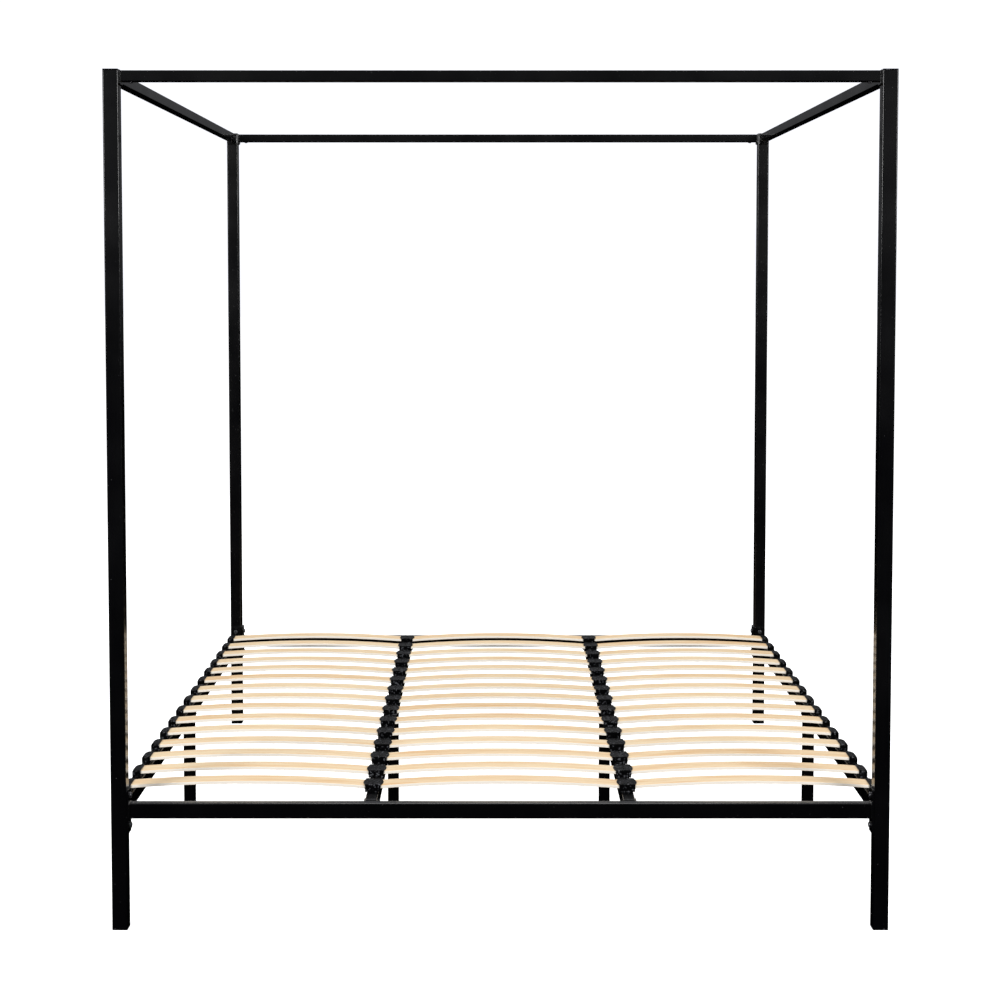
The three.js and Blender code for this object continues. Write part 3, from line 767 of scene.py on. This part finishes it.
# %% Bolted rails
RAIL_RADIUS = 2.5 * MM
RAIL_WALL = 1.5 * MM
PLATE_THICKNESS = 5 * MM
PLATE_RADIUS = 4 * MM
SIDE_RAIL_WIDTH = 30 * MM

rail_height = rail_top - rail_bottom
end_rail_face = box("rail_hanger_head_right")[1][1] + FIT
end_rail_width = 2 * (post_y - end_rail_face)


def bolted_rail(name, axis, node, width):
    """Makes a rail: its tube, a plate at each end and a bead on each plate's inner face."""
    low, high = box(node)
    a, _, c = AXES[axis]
    centre = (low + high) / 2
    plate_sizes = (high[a] - low[a], high[2] - low[2])
    tube_sizes = (width, rail_height)
    inner_low, inner_high = low[c] + PLATE_THICKNESS, high[c] - PLATE_THICKNESS
    skins = [
        tube(axis, centre, inner_low, inner_high, tube_sizes, RAIL_RADIUS, RAIL_WALL),
        plate(axis, centre, low[c], inner_low, plate_sizes, PLATE_RADIUS),
        plate(axis, centre, high[c], inner_high, plate_sizes, PLATE_RADIUS),
        bead(axis, centre, inner_low, tube_sizes, RAIL_RADIUS),
        bead(axis, centre, inner_high, tube_sizes, RAIL_RADIUS),
    ]
    piece(name, skins, black_steel, node)


for end in ENDS:
    bolted_rail(f"bolted_rail_{end}", "X", f"{end}_rail", end_rail_width)
for side in SIDES:
    bolted_rail(f"bolted_rail_{side}", "Y", f"side_rail_{side}", SIDE_RAIL_WIDTH)
print("end rails", round(end_rail_width / MM, 1), "mm wide,", round(rail_height / MM, 1), "mm high")

# %% [markdown]
# ## Bolts and nut plates
#
# Each end plate is drawn against its post by two bolts. They screw into a long nut plate that
# stands inside the post, which spreads the pull and can't turn while the bolt is tightened.

# %% Bolts and nut plates
NUT_PLATE_THICKNESS = 5 * MM
NUT_PLATE_RADIUS = 2 * MM
NUT_PLATE_PAST_BOLT = 13 * MM
BOLT_TIP = 3 * MM


def bolts_at(axis, node, label, inwards):
    """The two bolts and the nut plate of one end plate. The heads point along inwards."""
    a, _, c = AXES[axis]
    low, high = box(node)
    tip, head_top = (low[c], high[c]) if inwards > 0 else (high[c], low[c])
    seat = head_top - inwards * LARGE["height"]
    nut_start = tip + inwards * BOLT_TIP
    centre = (low + high) / 2
    nut = plate(
        axis, centre, nut_start, nut_start + inwards * NUT_PLATE_THICKNESS,
        (high[a] - low[a], high[2] - low[2]), NUT_PLATE_RADIUS,
    )
    piece(f"nut_plate_{label}", [nut], zinc, node)
    lower, upper = low[2] + NUT_PLATE_PAST_BOLT, high[2] - NUT_PLATE_PAST_BOLT
    for level, z in (("lower", lower), ("upper", upper)):
        spot = np.array([centre[0], centre[1], z])
        shape = screw(axis, spot, seat, inwards, abs(seat - tip), **LARGE)
        piece(f"bolt_{label}_{level}", [shape], zinc, node)


for end, side, x_sign, y_sign in CORNERS:
    bolts_at("X", f"end_rail_bolts_{end}_{side}", f"end_rail_{end}_{side}", -x_sign)
    bolts_at("Y", f"side_rail_bolts_{end}_{side}", f"side_rail_{end}_{side}", -y_sign)

# %% [markdown]
# ## Mid rails and hangers
#
# The two mid rails carry the inner ends of the slats. They aren't bolted: each end drops into a
# pressed hanger, screwed to the foot rail or the head rail, so that they can be laid in last. A
# hanger is one strip of sheet bent up at both sides, with a back plate. The strip is its own
# section carried along the bent line, so its bends are rounded inside and out.

# %% Mid rails
for side in SIDES:
    node = f"mid_rail_{side}"
    low, high = box(node)
    sizes = (high[0] - low[0], rail_height)
    body = tube("Y", middle(node), low[1], high[1], sizes, RAIL_RADIUS, RAIL_WALL)
    piece(f"mid_tube_{side}", [body], black_steel, node)
print("mid rails at", round(mid_rail_x, 4), "either side of the middle")

# %% Hangers and their screws
HANGER_THICKNESS = 3 * MM
HANGER_EAR = 6 * MM
HANGER_CORNER = 2 * MM
HANGER_SCREW_LENGTH = 5 * MM
SHEET_EDGE = 0.5 * MM
BEND_RADIUS = 2 * MM


def bent_strip(centre_x, low, high, y_from, y_to, half_inside):
    """A channel: a strip that runs down one side, under the rail and up the other.

    The strip's middle line has a quarter circle at each bend. At each of its points stands a
    section, as thick as the sheet and as deep as the hanger, turned to face across the line.
    """
    bend = BEND_RADIUS + HANGER_THICKNESS / 2
    side = half_inside + HANGER_THICKNESS / 2
    floor = low + HANGER_THICKNESS / 2
    quarter = np.linspace(0, np.pi / 2, 6)
    left_x, left_z = -side + bend - bend * np.cos(quarter), floor + bend - bend * np.sin(quarter)
    x = np.concatenate([[-side], left_x, -left_x[::-1], [side]])
    z = np.concatenate([[high], left_z, left_z[::-1], [high]])
    tilt = np.concatenate([[0], quarter, np.pi - quarter[::-1], [np.pi]])
    section = rounded_rectangle(HANGER_THICKNESS / 2, abs(y_to - y_from) / 2, SHEET_EDGE, 3)[0]
    rings = np.empty((len(x), len(section), 3))
    rings[..., 0] = centre_x + x[:, None] + np.cos(tilt)[:, None] * section[:, 0]
    rings[..., 1] = (y_from + y_to) / 2 + section[:, 1]
    rings[..., 2] = z[:, None] + np.sin(tilt)[:, None] * section[:, 0]
    return skin(rings)


for end, side, x_sign, y_sign in CORNERS:
    node = f"rail_hanger_{end}_{side}"
    low, high = box(node)
    centre = middle(node)
    back = y_sign * max(abs(low[1]), abs(high[1]))
    mouth = y_sign * min(abs(low[1]), abs(high[1]))
    seat = back - y_sign * HANGER_THICKNESS
    half_inside = (high[0] - low[0]) / 2 - HANGER_EAR - HANGER_THICKNESS
    skins = [
        bent_strip(centre[0], low[2], high[2], back, mouth, half_inside),
        plate("Y", centre, back, seat, (high[0] - low[0], high[2] - low[2]), HANGER_CORNER),
    ]
    piece(f"hanger_{end}_{side}", skins, black_steel, node)
    for place, sign in (("inner", -x_sign), ("outer", x_sign)):
        ear = centre + [sign * (half_inside + HANGER_THICKNESS + HANGER_EAR / 2), 0, 0]
        shape = screw("Y", ear, seat, -y_sign, HANGER_SCREW_LENGTH, **SMALL)
        piece(f"hanger_screw_{end}_{side}_{place}", [shape], zinc, node)
print("hangers are open", round(2 * half_inside / MM, 1), "mm wide")

# %% [markdown]
# ## Support legs
#
# Halfway along, each side rail and mid rail stands on a short leg, so that the long tubes
# don't sag. A leg is a square tube with a plate welded on top, which two screws hold to the
# rail from below, and a plug in its foot.

# %% Support legs
LEG_WALL = 1.5 * MM
LEG_PLATE_THICKNESS = 4 * MM
LEG_PLATE_RADIUS = 3 * MM
LEG_SCREW_OFFSET = 30 * MM
LEG_SCREW_LENGTH = 12 * MM

for place in ("outer", "inner"):
    for side in SIDES:
        node, glide = f"support_leg_{place}_{side}", f"leg_glide_{place}_{side}"
        low, high = box(node)
        centre = middle(node)
        size = high[0] - low[0]
        plate_bottom = high[2] - LEG_PLATE_THICKNESS
        skins = [
            tube("Z", centre, low[2], plate_bottom, (size, size), LEG_RADIUS, LEG_WALL),
            plate("Z", centre, plate_bottom, high[2], (size, high[1] - low[1]), LEG_PLATE_RADIUS),
            bead("Z", centre, plate_bottom, (size - 2 * BEAD_RADIUS, size), LEG_RADIUS),
        ]
        piece(f"leg_tube_{place}_{side}", skins, black_steel, node)
        shape = plug(centre, 0.0, 1, glide_flange, size, LEG_RADIUS, LEG_WALL)
        piece(f"leg_plug_{place}_{side}", [shape], black_plastic, glide)
        for name, sign in ENDS.items():
            spot = centre + [0, sign * LEG_SCREW_OFFSET, 0]
            shape = screw("Z", spot, plate_bottom, -1, LEG_SCREW_LENGTH, **MEDIUM)
            piece(f"leg_screw_{place}_{side}_{name}", [shape], zinc, node)
print("legs", round(size / MM, 1), "mm square")

# %% [markdown]
# ## Slats
#
# The slats are the springs of the bed. Each is bowed upwards and flattens a little under a
# sleeper. A row has three of one length, and every slat is its own piece, so that each can
# have its own stretch of veneer. The arc is so shallow that a parabola lies within a tenth of
# a millimetre of it.

# %% Where the rows lie
HOLDER_FLOOR = 8 * MM
HOLDER_CHEEK = 3 * MM
SINGLE_WIDTH = 24 * MM
SINGLE_POCKET = 15 * MM
DOUBLE_HALF_WIDTH = 25 * MM
DOUBLE_POCKET = 9 * MM
SLAT_STATIONS = 25
SLAT_EDGE = 1.3 * MM

row_nodes = sorted(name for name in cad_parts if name.startswith("slat_row_"))
row_low, row_high = box(row_nodes[0])
holder_half = (row_high[1] - row_low[1]) / 2
slat_width = 2 * (holder_half - HOLDER_CHEEK)
slat_under = rail_top + HOLDER_FLOOR
slat_bow = row_high[2] - slat_under - SLAT_THICKNESS
mouth_x = row_high[0] - SINGLE_WIDTH
slat_length = 2 * (mid_rail_x - DOUBLE_HALF_WIDTH + DOUBLE_POCKET)
slat_x = mouth_x + SINGLE_POCKET - slat_length / 2
slat_sizes = np.array([slat_length, slat_width, slat_bow])
print("rows", len(row_nodes), "slat length, width and bow, mm", np.round(slat_sizes / MM, 1))


# %% A bowed slat
NEXT_BOARD_ALONG, NEXT_BOARD_ACROSS = 1.37, 0.29


def slat(name, centre_x, centre_y, number, node):
    """A slat, with the attributes board and tone that its finish reads.

    A thin rounded rectangle is carried along the length and lifted by the bow times one minus
    the square of the distance from the middle, as a share of the half length.
    """
    share = np.linspace(-1, 1, SLAT_STATIONS)
    lift = slat_bow * (1 - share**2)
    outline = rounded_rectangle(slat_width / 2, SLAT_THICKNESS / 2, SLAT_EDGE, 3)
    outlines = np.repeat(outline, SLAT_STATIONS, axis=0)
    rings = along(
        "X", outlines, centre_x + share * slat_length / 2,
        (0, centre_y, slat_under + SLAT_THICKNESS / 2),
    )
    rings[..., 2] += lift[:, None]
    made = piece(name, [skin(rings)], birch, node)

    points = np.empty(len(made.data.vertices) * 3, np.float32)
    made.data.vertices.foreach_get("co", points)
    points = points.reshape(-1, 3)
    run = points[:, 0] - centre_x
    lifted = slat_bow * (1 - (2 * run / slat_length) ** 2)
    board = np.stack([
        run + NEXT_BOARD_ALONG * number,
        points[:, 1] - centre_y + NEXT_BOARD_ACROSS * number,
        points[:, 2] - slat_under - lifted,
    ], axis=1)
    made.data.attributes.new("board", "FLOAT_VECTOR", "POINT").data.foreach_set(
        "vector", board.astype(np.float32).ravel()
    )
    tones = np.full(len(points), tone_of[number], np.float32)
    made.data.attributes.new("tone", "FLOAT", "POINT").data.foreach_set("value", tones)


tone_of = np.random.default_rng(7).random(3 * len(row_nodes)) ** 1.5
for row, node in enumerate(row_nodes):
    for column, (name, x) in enumerate((("left", -slat_x), ("middle", 0.0), ("right", slat_x))):
        slat(f"slat_{row + 1:02d}_{name}", x, middle(node)[1], 3 * row + column, node)
print("slats made:", 3 * len(row_nodes))

# %% [markdown]
# ## Slat holders
#
# The holders are moulded in one piece with a peg that snaps into the rail. At a side rail a
# single one caps the slat's end, and its outer corners are rounded because a shin may meet
# them. Over a mid rail a double one joins two slats, and is wider in the middle so that it
# reaches over both.
#
# Seen from the end of a holder, its section is a floor, a deep slot for the slat and a roof.
# So each holder is that section carried along the bed, with its width and the depth of its
# slot changing on the way. At both ends the slot is filled by a cheek.

# %% Stations across a holder
HOLDER_ROOF = 4 * MM
ROOF_ROUND = 2.6 * MM
ROOF_FALL = 2.2 * MM
CHEEK_AT = holder_half - HOLDER_CHEEK

holder_bottom = rail_top + FIT
holder_top = slat_under + SLAT_THICKNESS + HOLDER_ROOF
roof_under, floor_top = slat_under + SLAT_THICKNESS + FIT, slat_under - FIT


def holder_stations(kinks):
    """Places across a holder, and 1 or 0 for each: whether the slot is open there.

    Both sides of a cheek's inner face appear twice, once open and once closed. The outer
    stations come closer together, where the roof rounds over.
    """
    round_over = holder_half - ROOF_ROUND * (1 - np.sin(np.linspace(0, np.pi / 2, 6)))
    round_over = round_over[round_over > CHEEK_AT]
    half = np.sort(np.concatenate([kinks, [CHEEK_AT, CHEEK_AT], round_over]))
    is_open = (half <= CHEEK_AT).astype(float)
    is_open[np.flatnonzero(half == CHEEK_AT)[-1]] = 0
    return np.concatenate([-half[::-1], half]), np.concatenate([is_open[::-1], is_open])


def roof_height(y):
    """The roof over each station: level, and a quarter of an ellipse near both ends."""
    t = np.clip((np.abs(y) - holder_half + ROOF_ROUND) / ROOF_ROUND, 0, 1)
    return holder_top - ROOF_FALL * (1 - np.sqrt(1 - t**2))


def carried_along(x, y, z):
    """The skin of a section whose points have an x and a z at each place y along the bed."""
    return skin(np.stack([x, np.broadcast_to(y[:, None], x.shape), z], axis=-1))


# %% Single holders
SINGLE_CORNER = 14 * MM
SINGLE_EASE = 0.8 * MM
CAP_ROUND = 10 * MM
CAP_FALL = 8 * MM


def single_holder(centre_y, sign):
    """The holder at a slat's outer end, with its mouth towards the middle of the bed.

    Its depth over the rail is full in the middle, and at the ends shrinks on a quarter circle.
    The section goes along the floor, up the outer wall, over a quarter of an ellipse to the
    roof, back to the mouth, and in and out of the slot.
    """
    flat = holder_half - SINGLE_CORNER
    kinks = flat + SINGLE_CORNER * np.sin(np.linspace(0, 1.0, 6))
    y, is_open = holder_stations(np.concatenate([[flat * 0.5], kinks[kinks < CHEEK_AT]]))
    over = np.clip(np.abs(y) - flat, 0, SINGLE_CORNER)
    depth = SINGLE_WIDTH - SINGLE_CORNER + np.sqrt(SINGLE_CORNER**2 - over**2)
    top = roof_height(y)
    slot = SINGLE_POCKET * is_open

    bend = np.linspace(0, np.pi / 2, 7)
    one, ease = np.ones_like(y), SINGLE_EASE
    x = [0 * one, depth - ease, depth]
    z = [holder_bottom * one, holder_bottom * one, (holder_bottom + ease) * one]
    x += [depth - CAP_ROUND * (1 - np.cos(t)) for t in bend]
    z += [top - CAP_FALL * (1 - np.sin(t)) for t in bend]
    x += [ease * one, 0 * one, 0 * one, slot, slot, 0 * one]
    z += [top, top - ease, roof_under * one, roof_under * one, floor_top * one, floor_top * one]
    x, z = np.stack(x, axis=1), np.stack(z, axis=1)
    return carried_along(sign * (mouth_x + x), centre_y + y, z)


for row, node in enumerate(row_nodes):
    for side, sign in SIDES.items():
        shape = single_holder(middle(node)[1], sign)
        piece(f"slat_cap_{row + 1:02d}_{side}", [shape], black_plastic, node)
print("single holders made:", 2 * len(row_nodes))

# %% Double holders
DOUBLE_HALF_NECK = 20 * MM
DOUBLE_POINT = 7 * MM
DOUBLE_BODY = 19.5 * MM
DOUBLE_EASE = 0.9 * MM
FLOOR_EDGE, CHEEK_INSET = 2 * MM, 0.5 * MM
GROOVE_HALF_WIDTH, GROOVE_DEPTH = 1.6 * MM, 1.3 * MM
LIP_AT, LIP_HEIGHT = 24 * MM, 0.9 * MM


def double_holder(centre_x, centre_y):
    """The holder between two slats: a six-sided roof and floor with a slot from either side.

    The half width is full between the points and falls in a straight line to the neck at both
    ends. The roof has a raised lip at both ends and a groove down its middle. The section is
    drawn once for the right half and mirrored for the left.
    """
    kinks = np.array([0.4, 1.0, 1.25]) * DOUBLE_POINT
    y, is_open = holder_stations(np.append(kinks, [LIP_AT - LIP_HEIGHT, LIP_AT]))
    fall = np.clip((np.abs(y) - DOUBLE_POINT) / (holder_half - DOUBLE_POINT), 0, 1)
    half = DOUBLE_HALF_WIDTH - (DOUBLE_HALF_WIDTH - DOUBLE_HALF_NECK) * fall
    web = np.where(is_open > 0, DOUBLE_HALF_WIDTH - DOUBLE_POCKET, half - CHEEK_INSET)
    body = np.minimum(half, DOUBLE_BODY)
    top = roof_height(y) - LIP_HEIGHT * (np.abs(y) < LIP_AT - LIP_HEIGHT / 2)

    one, ease = np.ones_like(y), DOUBLE_EASE
    groove = [GROOVE_HALF_WIDTH * one, 0.6 * GROOVE_HALF_WIDTH * one]
    x = [body - ease, body, body, half, web, web, half, half, half - ease, 0.6 * half, *groove]
    z = [
        holder_bottom * one, (holder_bottom + ease) * one, (floor_top - FLOOR_EDGE) * one,
        floor_top * one, floor_top * one, roof_under * one, roof_under * one,
        top - 1.6 * ease, top - 0.6 * ease, top, top, top - GROOVE_DEPTH,
    ]
    x, z = np.stack(x, axis=1), np.stack(z, axis=1)
    x, z = np.concatenate([x, -x[:, ::-1]], axis=1), np.concatenate([z, z[:, ::-1]], axis=1)
    return carried_along(centre_x + x, centre_y + y, z)


for row, node in enumerate(row_nodes):
    for side, sign in SIDES.items():
        shape = double_holder(sign * mid_rail_x, middle(node)[1])
        piece(f"slat_joiner_{row + 1:02d}_{side}", [shape], black_plastic, node)
print("double holders made:", 2 * len(row_nodes))

# %% [markdown]
# ## Studio
#
# The bed stands on a pale floor in an even, soft light, as a catalogue shows it. Two large
# panels in front light the slats, and one overhead and one behind draw thin highlights along
# the tubes' edges. The floor glows a little, like a table lit from below, so that it stays
# nearly white under the bed. Mirror-like reflections see a darker room than the camera does,
# black low down and grey above the horizon, because a studio hangs black cloth round black
# objects to keep them black.

# %% Floor and world
FLOOR_REACH = 60.0
FLOOR_GLOW = 0.8
ROOM_COLOUR = (0.94, 0.95, 1, 1)
BACKDROP = 1.12
ROOM_LIGHT = 0.45
MIRRORED_LIGHT = 0.22
MIRRORED_FROM, MIRRORED_TO = -0.06, 0.26

floor_mesh = bpy.data.meshes.new("floor")
corners = np.array([[-1, -1, 0], [1, -1, 0], [1, 1, 0], [-1, 1, 0]]) * FLOOR_REACH
floor_mesh.from_pydata(corners.tolist(), [], [[0, 1, 2, 3]])
floor = bpy.data.objects.new("floor", floor_mesh)
bpy.context.scene.collection.objects.link(floor)
floor.visible_glossy = False
floor.visible_diffuse = False
pale_floor, _, _ = new_finish(
    "pale floor",
    {"Base Color": (0.9, 0.9, 0.9, 1), "Roughness": 0.9, "Specular IOR Level": 0.0,
     "Emission Color": (1, 1, 1, 1), "Emission Strength": FLOOR_GLOW},
)
floor_mesh.materials.append(pale_floor)
floor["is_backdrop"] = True

world = bpy.data.worlds.new("studio")
bpy.context.scene.world = world
world.use_nodes = True
room = Bench(world.node_tree)
seen = room.node("ShaderNodeLightPath", output="Is Camera Ray")
mirrored = room.node("ShaderNodeLightPath", output="Is Glossy Ray")
upwards = room.node(
    "ShaderNodeSeparateXYZ", sockets={0: room.node("ShaderNodeTexCoord")}, output="Z"
)
in_mirror = MIRRORED_LIGHT * room.ramp(upwards, MIRRORED_FROM, MIRRORED_TO)
unseen = mirrored * in_mirror + (1 - mirrored) * ROOM_LIGHT
background = world.node_tree.nodes["Background"]
room.feed(background.inputs["Color"], ROOM_COLOUR)
room.feed(background.inputs["Strength"], seen * BACKDROP + (1 - seen) * unseen)
print("floor and world ready")


# %% Light panels
def light_panel(name, place, target, size, power):
    """A square soft light that faces the target and that the camera doesn't see."""
    data = bpy.data.lights.new(name, "AREA")
    data.size = size
    data.energy = power
    panel = bpy.data.objects.new(name, data)
    panel.location = place
    direction = mathutils.Vector(target) - mathutils.Vector(place)
    panel.rotation_euler = direction.to_track_quat("-Z", "Y").to_euler()
    panel.visible_camera = False
    bpy.context.scene.collection.objects.link(panel)


light_panel("overhead", (0.0, 0.0, 5.4), (0, 0, 0.3), 4.5, 30)
light_panel("back", (0.0, 4.2, 6.0), (0, 0, 0.5), 3.0, 150)
light_panel("front left", (-5.0, -6.0, 3.2), (0, 0, 0.8), 2.6, 370)
light_panel("front right", (5.0, -6.0, 3.2), (0, 0, 0.8), 2.6, 370)

# %% [markdown]
# ## Camera
#
# The camera stands in front of the foot end, about two centimetres beside the bed's middle
# line and as high as a grown person's eyes. It looks down slightly, and its lens is shifted
# the rest of the way, as is done for tall buildings, to keep the posts upright.

# %% Camera
CAMERA_DISTANCE = 4.431
CAMERA_HEIGHT = 1.6155
CAMERA_ASIDE = -0.019
CAMERA_TILT = np.radians(3.225)
LENS = 66.2
LENS_ASIDE, LENS_DOWN = 0.0075, -0.125

camera_data = bpy.data.cameras.new("camera")
camera_data.lens = LENS
camera_data.sensor_width = 36.0
camera_data.shift_x = LENS_ASIDE
camera_data.shift_y = LENS_DOWN
camera = bpy.data.objects.new("camera", camera_data)
bpy.context.scene.collection.objects.link(camera)
camera.location = (CAMERA_ASIDE, cad_low[1] - CAMERA_DISTANCE, CAMERA_HEIGHT)
camera.rotation_euler = (np.pi / 2 - CAMERA_TILT, 0, 0)
bpy.context.scene.camera = camera
bpy.context.scene.view_settings.view_transform = "Standard"
print("camera at", tuple(round(v, 3) for v in camera.location))

# %% [markdown]
# ## The two boxes
#
# The finished bed may not be larger than the imported one. Both boxes are put side by side in
# one table, and their largest difference is printed.

# %% Compare the boxes and finish
made_low, made_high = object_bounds()
sizes = {
    "cad": [list(cad_low), list(cad_high)],
    "visual": [list(made_low), list(made_high)],
}
difference = np.array(sizes["visual"]) - np.array(sizes["cad"])
print("largest difference, mm:", round(float(np.abs(difference).max()) / MM, 3))
